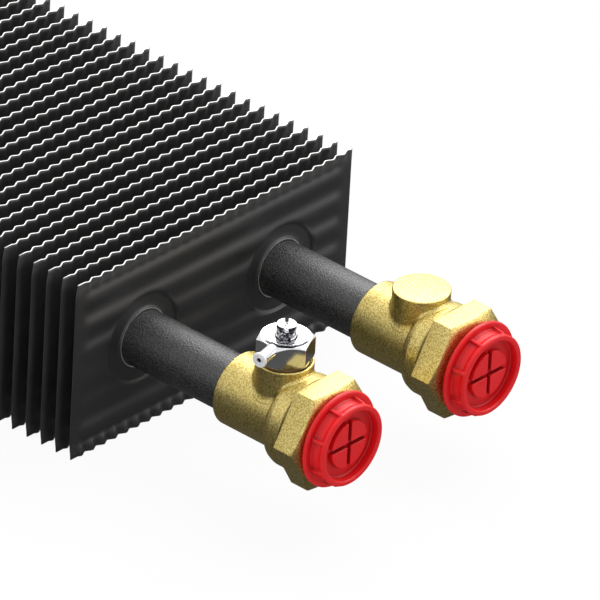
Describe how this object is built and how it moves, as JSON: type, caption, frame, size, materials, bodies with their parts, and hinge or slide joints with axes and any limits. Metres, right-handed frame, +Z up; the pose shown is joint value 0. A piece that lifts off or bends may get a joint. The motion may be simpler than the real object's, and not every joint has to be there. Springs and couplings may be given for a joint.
{
  "type": "trench convector heat exchanger",
  "caption": "Finned water coil of a trench convector: two black tubes through rippled fins, brass end fittings, an air vent and red port caps.",
  "frame": {"origin": "middle of the overall box, on the surface that the fins stand on", "axes": "+X along the tubes towards the two fittings, +Y across the coil from the supply tube to the return tube, +Z up"},
  "size_m": [0.4241, 0.1, 0.05],
  "materials": {
    "fin_paint": "satin black paint on pressed aluminium, bare at the cut edges",
    "tube_paint": "satin black paint with a fine grain",
    "forged_brass": "sand-blasted forging, fine grain",
    "brazing_metal": "solidified brazing metal",
    "chrome": "bright chrome plating",
    "red_plastic": "moulded polyethylene, semi-gloss",
    "gasket": "dark fibre gasket",
    "seal_rubber": "black rubber"
  },
  "bodies": {
    "coil": {"front_end_fin": "fin_paint", "rear_end_fin": "fin_paint", "inner_fins": "fin_paint", "supply_tube": "tube_paint", "return_tube": "tube_paint", "return_bend": "tube_paint", "supply_bend_brazing": "tube_paint", "return_bend_brazing": "tube_paint", "supply_fitting": "forged_brass", "return_fitting": "forged_brass", "supply_solder_ring": "brazing_metal", "return_solder_ring": "brazing_metal", "vent_body": "chrome", "vent_nozzle": "chrome", "vent_seal": "gasket"},
    "supply_cap_body": {"supply_cap": "red_plastic"},
    "return_cap_body": {"return_cap": "red_plastic"},
    "bleed_seal_body": {"bleed_screw_seal": "seal_rubber"},
    "bleed_screw_body": {"bleed_screw": "chrome"}
  },
  "joints": [
    {"name": "supply_cap_pull", "type": "slide", "parent": "coil", "child": "supply_cap_body", "axis": [1, 0, 0], "range_m": [0, 0.03]},
    {"name": "return_cap_pull", "type": "slide", "parent": "coil", "child": "return_cap_body", "axis": [1, 0, 0], "range_m": [0, 0.03]},
    {"name": "bleed_screw_rise", "type": "slide", "parent": "coil", "child": "bleed_seal_body", "axis": [0, 0, 1], "range_m": [0, 0.0012]},
    {"name": "bleed_screw_turn", "type": "hinge", "parent": "bleed_seal_body", "child": "bleed_screw_body", "pos_m": [0.18745, -0.025, 0.045], "axis": [0, 0, 1], "range_deg": [0, 540]}
  ],
  "couplings": [
    {"joint": "bleed_screw_turn", "follows": "bleed_screw_rise", "rad_per_m": 7850}
  ]
}
